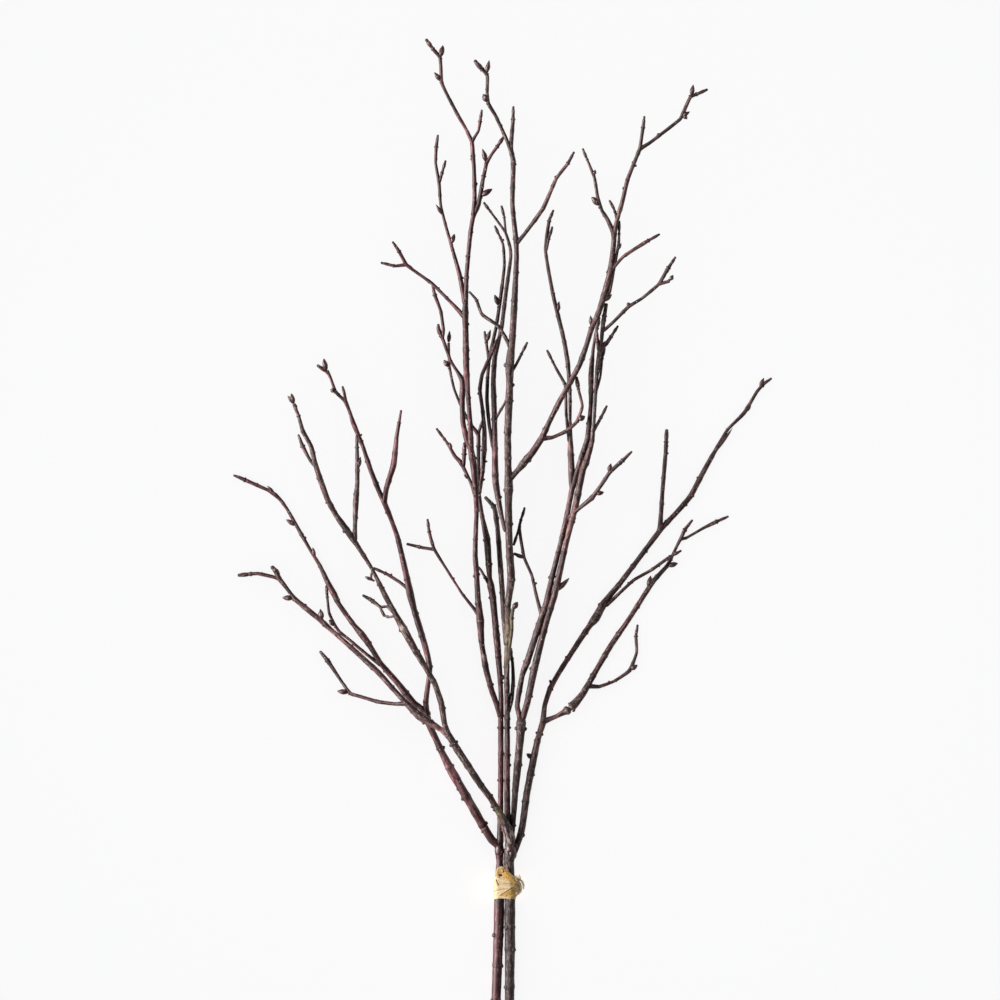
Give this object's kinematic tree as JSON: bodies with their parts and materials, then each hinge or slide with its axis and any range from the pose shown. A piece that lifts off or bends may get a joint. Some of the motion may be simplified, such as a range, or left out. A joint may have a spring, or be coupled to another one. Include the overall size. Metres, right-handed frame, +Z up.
{
  "type": "willow twig",
  "caption": "Bundle of bare budded willow branches lying on its side, tied near the cut ends with a strip of raffia, for a vase or a dried arrangement.",
  "frame": {"origin": "on the surface that the bundle lies on, below the middle of the bundle's box", "axes": "+Y from the cut ends to the tips, along the length; +Z up from the surface; +X to the right, seen from above with the tips pointing away"},
  "size_m": [0.4857, 0.9197, 0.0845],
  "materials": {
    "bark_red": "smooth maroon bark with a dull sheen and pale lenticels",
    "bark_grey": "rough grey-brown bark, matte, furrowed along the shoot",
    "raffia": "dry straw-coloured raffia strip with fine lengthwise fibres"
  },
  "bodies": {
    "root": {"maroon_branch": "bark_red", "grey_branch": "bark_grey", "raffia_tie": "raffia"}
  },
  "joints": []
}
